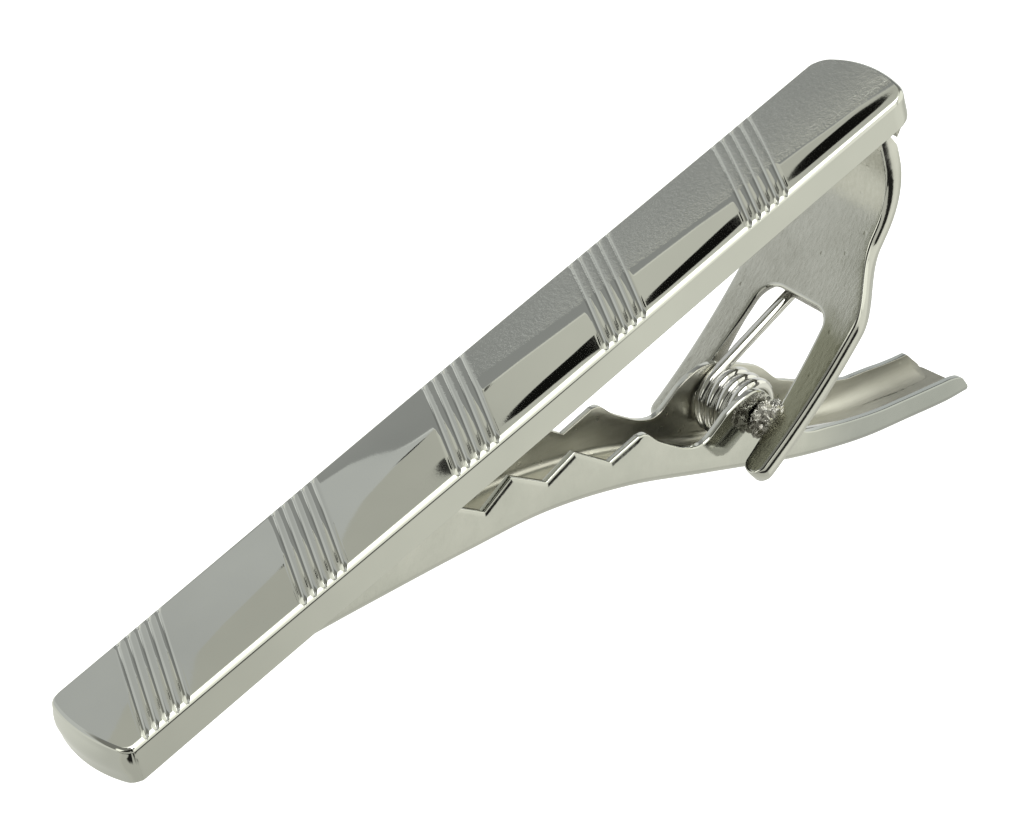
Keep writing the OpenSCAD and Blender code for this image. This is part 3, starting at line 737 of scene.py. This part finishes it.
# ---------------------------------------------------------------- materials
class Graph:
    """The shader nodes of one material or world. Values are numbers, tuples or other nodes' outputs."""

    def __init__(self, owner):
        owner.use_nodes = True
        self.tree = owner.node_tree
        self.tree.nodes.clear()

    def put(self, socket, value):
        if isinstance(value, (int, float, tuple)):
            socket.default_value = value
        else:
            self.tree.links.new(value, socket)

    def node(self, kind, *first, **values):
        """Adds a node. First are its first inputs, and values its settings, then inputs, with _ for each space."""
        n = self.tree.nodes.new("ShaderNode" + kind)
        for key, value in values.items():
            if key.replace("_", " ") in n.inputs:
                self.put(n.inputs[key.replace("_", " ")], value)
            else:
                setattr(n, key, value)
        for socket, value in zip(n.inputs, first):
            self.put(socket, value)
        return n

    def math(self, op, *values):
        return self.node("Math", *values, operation=op).outputs[0]

    def times(self, *values):
        return functools.reduce(lambda a, b: self.math("MULTIPLY", a, b), values)

    def plus(self, a, b):
        return self.math("ADD", a, b)

    def split(self, vector):
        return self.node("SeparateXYZ", vector).outputs

    def noise(self, place, scale, **more):
        return self.node("TexNoise", Vector=place, Scale=scale, **more).outputs["Fac"]

    def ramp(self, stops, source):
        r = self.node("ValToRGB", source)
        e = r.color_ramp.elements
        while len(e) < len(stops):
            e.new(0.5)
        for element, (pos, colour) in zip(e, stops):
            element.position = pos
            element.color = (*colour, 1) if isinstance(colour, tuple) else (colour, colour, colour, 1)
        return r.outputs[0]

    def fade(self, source, lo, hi):
        """0 where source is at lo, 1 where it is at hi, smooth between."""
        ends = (lo, hi, 0.0, 1.0) if lo <= hi else (hi, lo, 1.0, 0.0)
        return self.node("MapRange", source, *ends, interpolation_type="SMOOTHSTEP").outputs[0]

    def mix(self, a, b, share):
        return self.node("Mix", data_type="FLOAT", Factor=share, A=a, B=b).outputs[0]

    def tint(self, a, b, share, blend="MIX"):
        mixed = self.node("Mix", data_type="RGBA", blend_type=blend, Factor=share, A=a, B=b)
        return mixed.outputs["Result"]


def metal(name):
    """A metal, its graph and its shader, and the place in the row frame, in metres."""
    m = bpy.data.materials.new(name)
    g = Graph(m)
    bsdf = g.node("BsdfPrincipled", Metallic=1.0)
    g.node("OutputMaterial", bsdf.outputs[0])
    return m, g, bsdf, g.node("TexCoord").outputs["Object"]


def surface(g, bsdf, colour, rough, bump, height):
    g.put(bsdf.inputs["Base Color"], colour)
    g.put(bsdf.inputs["Roughness"], rough)
    g.put(bsdf.inputs["Normal"], g.node("Bump", Strength=bump, Distance=0.0001, Height=height).outputs[0])


# The tail is darker from a place along the row frame's length, in metres, over this run
DARKENING_RUN = 0.006


def plated(name, low, high, rough, grain, bump, scale, darker_from=None):
    """Bright plate: colour drifts a little, roughness and a fine bump come from noise. From darker_from on it is
    darker.
    """
    m, g, bsdf, place = metal(name)
    colour = g.ramp([(0.3, low), (0.7, high)], g.noise(place, 260.0, Detail=3.0))
    if darker_from:
        # darker towards the tail, from darker_from along the row frame's length
        darkening = g.fade(g.split(place)[0], darker_from, darker_from + DARKENING_RUN)
        colour = g.tint(colour, (0.68, 0.7, 0.72, 1), darkening, "MULTIPLY")
    fine = g.noise(place, scale, Detail=6.0, Roughness=0.65)
    roughness = g.ramp([(0.3, max(rough - grain, 0.02)), (0.7, rough + grain)], fine)
    surface(g, bsdf, colour, roughness, bump, fine)
    return m


def bar_material():
    """Mirror-bright plate that turns satin, with fine random scratches, on the far side towards the hinge end."""
    m, g, bsdf, place = metal("bar_plate")
    x, y, z = g.split(place)
    # places along and across the bar, in mm
    px = g.math("MULTIPLY_ADD", x, 1000 * COS, MIDDLE * COS + FOOT_LEVEL * SIN)
    px = g.plus(px, g.times(z, 1000 * SIN))
    py = g.times(y, 1000)
    edge = g.math("MULTIPLY_ADD", g.math("SUBTRACT", px, 40.9), 0.09, g.plus(py, 0.45))
    satin = g.times(g.fade(edge, 0.12, 0.5), g.fade(px, 24.0, 43.0))
    colour = g.ramp([(0.3, (0.55, 0.56, 0.53)), (0.7, (0.59, 0.6, 0.565))], g.noise(place, 180.0, Detail=3.0))
    grain = g.noise(place, 3600.0, Detail=4.0, Roughness=0.6)
    warp = g.node("Mapping", Vector=place, Rotation=(0, LEAN, 0.7), Scale=(0.5, 1.2, 1.0)).outputs[0]
    scratch = g.noise(warp, 3000.0, Detail=2.0, Distortion=2.5)
    rough = g.times(g.mix(0.02, 0.22, satin), g.mix(0.85, 1.15, grain))
    surface(g, bsdf, colour, rough, g.mix(0.0006, 0.22, satin), g.plus(grain, scratch))
    return m


def sheet_material(name, low, high, rough, bump, lines, specks, worn=None, darker_from=None):
    """Plate over stamped sheet: drawn lines along the leg, cloudy tone and a few bright nicks. The near leg's lower
    part takes the darker, browner colour given as worn, and from darker_from it turns darker and rougher."""
    m, g, bsdf, place = metal(name)
    drawn_out = g.node("Mapping", Vector=place, Rotation=(0, LEAN + TILT, 0), Scale=(0.1, 1.0, 0.5)).outputs[0]
    drawn = g.noise(drawn_out, 5200.0, Detail=4.0, Roughness=0.65)
    cloud = g.noise(place, 420.0, Detail=4.0)
    tone = g.plus(g.times(cloud, 1 - lines), g.times(drawn, lines))
    colour = g.ramp([(0.32, low), (0.68, high)], tone)
    roughness = g.mix(rough * 0.75, rough * 1.3, drawn)
    x, y, z = g.split(place)
    # the near leg, below about 7 to 9 mm up from the pivot, is painted darker and browner
    if worn:
        # place up the leg from the pivot, in mm
        up_x, up_z = math.cos(TILT + LEAN), math.sin(TILT + LEAN)
        zero = stood((PIVOT_X, 0, PIVOT_Z))
        up = g.math("MULTIPLY_ADD", x, 1000 * up_x, -1000 * (zero[0] * up_x + zero[2] * up_z))
        up = g.plus(up, g.times(z, 1000 * up_z))
        near_leg_share = g.fade(g.math("MULTIPLY_ADD", cloud, 2.4, up), 9.4, 6.6)
        colour = g.tint(colour, (*worn, 1), g.times(near_leg_share, g.fade(y, -0.0012, -0.0024)))
    if darker_from:
        # darker towards the tail from a little past darker_from, and rougher from darker_from
        darkening = g.fade(x, darker_from + 0.004, darker_from + 0.004 + DARKENING_RUN)
        colour = g.tint(colour, (0.6, 0.6, 0.59, 1), darkening, "MULTIPLY")
        roughness = g.math("MULTIPLY_ADD", g.fade(x, darker_from, darker_from + DARKENING_RUN), 0.3, roughness)
    nick = g.node("TexVoronoi", Vector=place, Scale=900.0).outputs["Distance"]
    dots = g.times(g.fade(nick, 0.16, 0.05), specks)
    height = g.math("SUBTRACT", g.plus(drawn, g.times(cloud, 0.8)), g.times(dots, 0.8))
    surface(g, bsdf, colour, g.mix(roughness, 0.12, dots), bump, height)
    return m


MAT_BAR = bar_material()
# worn is the darker, browner colour painted on the near leg's lower part
MAT_SHEET = sheet_material("sheet_face", (0.47, 0.47, 0.42), (0.61, 0.61, 0.56), 0.24, 0.25, 0.5, 1.0,
                           worn=(0.31, 0.31, 0.235))
MAT_RIM = plated("sheet_rim", (0.56, 0.565, 0.53), (0.64, 0.645, 0.61), 0.08, 0.03, 0.05, 1500)
MAT_CUT = plated("cut_edge", (0.12, 0.115, 0.1), (0.42, 0.41, 0.37), 0.25, 0.12, 0.8, 2000)
MAT_JAW = plated("jaw_plate", (0.54, 0.55, 0.515), (0.61, 0.615, 0.58), 0.09, 0.04, 0.06, 1500, darker_from=0.018)
MAT_INSIDE = sheet_material("jaw_inside", (0.52, 0.515, 0.46), (0.64, 0.635, 0.58), 0.3, 0.1, 0.5, 0.6, darker_from=0.02)
MAT_WIRE = plated("wire_plate", (0.62, 0.62, 0.6), (0.74, 0.74, 0.72), 0.05, 0.02, 0.03, 2000)
MAT_PIN = plated("pin_steel", (0.4, 0.4, 0.38), (0.5, 0.5, 0.48), 0.25, 0.08, 0.1, 2000)
MAT_BURR = plated("burr_metal", (0.3, 0.29, 0.26), (0.72, 0.72, 0.7), 0.12, 0.08, 0.9, 3000)
MAT_SOLDER = plated("solder_metal", (0.4, 0.4, 0.37), (0.55, 0.55, 0.5), 0.3, 0.1, 0.5, 1800)


def dress(obj, *mats):
    """Gives a piece its materials, in the order of its faces' indices."""
    index = [p.material_index for p in obj.data.polygons]
    obj.data.materials.clear()
    for m in mats:
        obj.data.materials.append(m)
    obj.data.polygons.foreach_set("material_index", index)
    return obj


# ---------------------------------------------------------------- pieces
bar = dress(build_bar(), MAT_BAR)
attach(bar, "clip_frame")
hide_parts("front_bar")

bracket = dress(build_bracket(), MAT_SHEET, MAT_RIM, MAT_CUT)
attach(bracket, "clip_frame")
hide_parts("bracket")

jaw = dress(build_jaw(), MAT_JAW, MAT_INSIDE)
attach(jaw, "jaw_arm")
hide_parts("jaw")

spring, spring_half = build_spring()
dress(spring, MAT_WIRE)
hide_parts("torsion_spring")
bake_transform(spring)

burr = dress(build_burr(), MAT_BURR)
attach(burr, "clip_frame")

for _name, _mat in (("hinge_pin", MAT_PIN), ("solder_seam", MAT_SOLDER)):
    for _slot in frame["nodes"][_name].material_slots:
        _slot.material = _mat


# ---------------------------------------------------------------- studio
# The floor lies as low as the open jaw reaches. The metal mirrors the room's lower half in its place.
FLOOR_Z, FLOOR_HALF = -0.0172, 3


def add_floor():
    """A pale floor that glows a little to the camera, so that it goes on into the white behind it."""
    m = bpy.data.materials.new("floor")
    g = Graph(m)
    path = g.node("LightPath").outputs
    diffuse = g.node("BsdfDiffuse", Color=(0.8, 0.8, 0.78, 1)).outputs[0]
    glow = g.node("Emission", Color=(1, 1, 1, 1), Strength=0.9).outputs[0]
    seen = g.math("MAXIMUM", path["Is Camera Ray"], path["Is Transmission Ray"])
    shown = g.node("AddShader", diffuse, glow).outputs[0]
    g.node("OutputMaterial", g.node("MixShader", seen, diffuse, shown).outputs[0])
    mesh = bpy.data.meshes.new("floor")
    corners = [(x * FLOOR_HALF, y * FLOOR_HALF, FLOOR_Z) for x, y in ((-1, -1), (1, -1), (1, 1), (-1, 1))]
    mesh.from_pydata(corners, [], [(0, 1, 2, 3)])
    mesh.materials.append(m)
    floor = bpy.data.objects.new("floor", mesh)
    bpy.context.scene.collection.objects.link(floor)
    floor.visible_glossy = False


add_floor()


# The room that the bar's top mirrors, in degrees: u along the bar, then v round it, from straight up to the far
# side. These lines are measured from the edges of what the bar's top mirrors in the photograph.
U_LOW, U_RUN = 14, 17
FRONT_EDGE = [(22.7, 41.6), (23.4, 40.4), (23.9, 38.8), (24.4, 37.2), (25.3, 35.2), (25.8, 33.8), (26.3, 31.4),
              (26.8, 30.6), (27.2, 29.4), (27.5, 28.0), (27.9, 26.8), (28.4, 23)]
SKY_EDGE = [(14, 90), (19.6, 78), (20.5, 64), (21.3, 58), (21.6, 52.5), (21.8, 46.5), (22.0, 44.2), (22.3, 42.6),
            *FRONT_EDGE, (31, 20)]
PANEL_EDGE = [(17.2, 16), (17.4, 24), (17.7, 30), (17.95, 36), (18.15, 18), (18.45, 18), (18.8, 31.3), (19.2, 34),
              (19.9, 36.8), (20.25, 38.5), (20.4, 18), (20.55, 24), (20.9, 32), (21.2, 36.8), (21.7, 40.0),
              (22.1, 41.2), (22.4, 42), *FRONT_EDGE]
CARD_TOP = [(22.8, 10), (22.88, 20.8), (22.96, 22.6), (23.06, 23.3), (23.24, 24.0), (23.5, 24.6), (23.92, 24.9),
            (24.19, 25.4), (24.32, 25.2), (24.38, 10), (24.82, 10), (24.88, 20.5), (25.0, 22.4), (25.18, 23.0),
            (25.69, 24.0), (26.04, 24.8), (26.2, 25.0), (26.3, 23.5), (26.36, 10), (26.8, 10), (26.86, 21.5),
            (27.0, 23.8), (27.18, 24.6), (27.43, 24.9), (27.84, 24.8), (28.0, 23.9), (28.15, 23.0), (28.24, 21.8),
            (28.3, 10), (31, 10)]
CARD_LOW = [(22.8, 21.0), (22.95, 20.4), (23.1, 19.9), (24.0, 19.4), (24.3, 18.2), (24.7, 20.0), (24.9, 19.2),
            (25.2, 18.8), (25.7, 18.9), (26.1, 19.3), (26.4, 20.0), (26.8, 21.0), (27.0, 19.5), (28.1, 19.4),
            (28.3, 21.0), (31, 21.0)]
# The sheet that the object stands on, as its near side mirrors it: u, and how bright
SHEET_NEAR = [(14, 0.66), (18, 0.68), (18.8, 0.71), (19.6, 0.8), (21, 0.86), (23, 0.88), (25, 0.95), (28, 0.94),
              (31, 1.0)]
# Small dark marks: place, half lengths, and slope
MARKS = [(21.93, 40.7, 0.2, 0.35, 2.2), (22.96, 40.2, 0.07, 0.7, 6.0), (20.16, 37.6, 0.06, 0.8, 4.0),
         (22.1, 22.6, 0.13, 4.4, 0.0), (20.22, 21.0, 0.07, 3.2, 0.0)]
# Walls beyond the hinge end, and the bright room above them and below: how bright, and between which u and v each
# comes in
WALLS = [(0.28, (30.0, 42.0), (60.0, 48.0)), (0.9, (40.0, 46.0), (52.0, 60.0)), (1.3, (36.0, 42.0), (10.0, -5.0))]
DARK, CARD_DARK = 0.02, 0.008


def room(g, u, v, height):
    """The room that the metal mirrors: grey walls and a pale panel beyond the object, a dark card overhead, a white
    light on the near side, and the white sheet below. Gives how bright and how warm it is."""
    along = g.math("MULTIPLY_ADD", u, 1 / U_RUN, -U_LOW / U_RUN)

    def over_u(points, scale):
        return g.ramp([((a - U_LOW) / U_RUN, b / scale) for a, b in points], along)

    def above(points):
        # how far v is above the line through the points
        return g.math("MULTIPLY_ADD", over_u(points, 100), -100.0, v)

    def near_to(value, place, inner, outer):
        # 1 within inner of the place, 0 beyond outer
        return g.fade(g.math("ABSOLUTE", g.plus(value, -place)), outer, inner)

    # the side beyond the object: pale, then a grey sky above its edge, then an olive panel below
    level = g.mix(0.62, 0.69, g.fade(u, 18.5, 21.5))
    sky = above(SKY_EDGE)
    level = g.mix(level, g.mix(0.39, 0.42, g.fade(v, 45.0, 75.0)), g.fade(sky, -0.35, 0.35))
    olive = g.mix(g.mix(0.61, 0.78, g.fade(u, 21.5, 24.0)), 0.68, g.fade(u, 26.4, 26.9))
    panel = g.fade(above(PANEL_EDGE), 0.3, -0.3)
    level = g.mix(level, olive, panel)
    line = g.times(near_to(sky, -0.35, 0.15, 0.55), g.fade(u, 21.6, 22.2))
    level = g.mix(level, 0.98, g.times(line, g.mix(0.75, 0.35, g.fade(u, 25.0, 27.5))))
    for mark_u, mark_v, half_u, half_v, slope in MARKS:
        du = g.math("SUBTRACT", u, mark_u)
        dv = g.math("SUBTRACT", g.math("MULTIPLY_ADD", du, -slope, v), mark_v)
        squares = [g.math("POWER", g.times(g.math("ABSOLUTE", d), 1 / half), 2.0)
                   for d, half in ((du, half_u), (dv, half_v))]
        level = g.mix(level, DARK, g.fade(g.plus(*squares), 1.2, 0.8))
    for bright, us, vs in WALLS:
        level = g.mix(level, bright, g.times(g.fade(u, *us), g.fade(v, *vs)))
    # the walls beyond the tip
    level = g.mix(level, g.mix(0.27, 0.75, g.fade(v, 22.0, 38.0)), g.fade(u, 13.0, 7.0))
    # dark card overhead, seen as a lens in each stretch of the bar
    card = g.times(g.fade(above(CARD_TOP), 0.2, -0.2), g.fade(above(CARD_LOW), -0.2, 0.2), g.fade(u, 40.0, 37.0))
    level = g.mix(level, CARD_DARK, card)
    # dark beyond the tip on the near side, with a lit patch above it
    dark = g.times(g.fade(v, -35.0, -45.0), g.fade(v, -140.0, -125.0), g.fade(u, 6.0, 0.0))
    level = g.mix(level, DARK, dark)
    level = g.mix(level, 1.6, g.times(near_to(v, -14.0, 14.0, 20.0), g.fade(u, -28.0, -34.0)))
    # the white sheet, from the horizon down
    below = g.fade(height, 0.0, -0.02)
    sheet = g.mix(over_u(SHEET_NEAR, 1), 0.63, g.fade(u, 8.0, -8.0))
    sheet = g.mix(sheet, 0.7, g.fade(v, -150.0, -172.0))
    beyond = g.mix(0.92, 0.7, g.fade(v, 120.0, 150.0))
    level = g.mix(level, g.mix(sheet, beyond, g.math("GREATER_THAN", v, 0.0)), below)
    # the white light, and a dark gap between it and the sheet
    near = g.times(g.times(g.fade(v, 14.0, 12.5), g.fade(v, -107.0, -105.0)),
                   g.times(g.fade(u, 7.0, 12.0), g.fade(u, 40.0, 34.0)))
    bright = g.mix(1.85, 1.25, g.math("MAXIMUM", g.fade(u, 27.0, 27.6), g.fade(v, -70.0, -80.0)))
    level = g.mix(level, bright, near)
    gap = g.times(g.fade(v, -117.0, -120.0), g.fade(v, -136.0, -133.0), g.fade(u, 26.0, 23.5))
    level = g.mix(level, DARK, gap)
    warm = g.times(g.fade(u, 6.0, -4.0), g.fade(v, 44.0, 20.0))
    return level, g.math("MAXIMUM", g.math("MAXIMUM", panel, warm), g.times(below, 0.75))


def world():
    """Mirror rays see the room, the camera sees plain white, and everything else is lit softly from all round."""
    w = bpy.data.worlds.new("studio")
    bpy.context.scene.world = w
    g = Graph(w)
    looking = g.node("TexCoord").outputs["Generated"]
    x, y, z = g.split(g.node("VectorRotate", rotation_type="Y_AXIS", Vector=looking, Angle=LEAN).outputs[0])
    degrees = 180 / math.pi
    u = g.times(g.math("ARCSINE", x), degrees)
    v = g.times(g.math("ARCTAN2", y, z), degrees)
    level, warm = room(g, u, v, g.split(looking)[2])
    colour = g.tint((1.0, 1.02, 0.99, 1), (1.0, 1.0, 0.89, 1), warm)
    mirrored = g.node("Background", colour, level).outputs[0]
    soft = g.node("Background", (0.9, 0.9, 0.88, 1), 0.45).outputs[0]
    white = g.node("Background", (1.0, 1.0, 1.0, 1), 1.0).outputs[0]
    path = g.node("LightPath").outputs
    lit = g.node("MixShader", path["Is Glossy Ray"], soft, mirrored).outputs[0]
    g.node("OutputWorld", g.node("MixShader", path["Is Camera Ray"], lit, white).outputs[0])


world()


def key_light(place, at, size, power):
    data = bpy.data.lights.new("key", "AREA")
    data.energy = power
    data.size = size
    o = bpy.data.objects.new("key", data)
    bpy.context.scene.collection.objects.link(o)
    o.location = place
    o.rotation_euler = (Vector(at) - Vector(place)).to_track_quat("-Z", "Y").to_euler()


key_light((0.0, -0.25, 0.75), (0, 0, 0.01), 0.5, 3.0)

bpy.context.scene.view_settings.view_transform = "Standard"
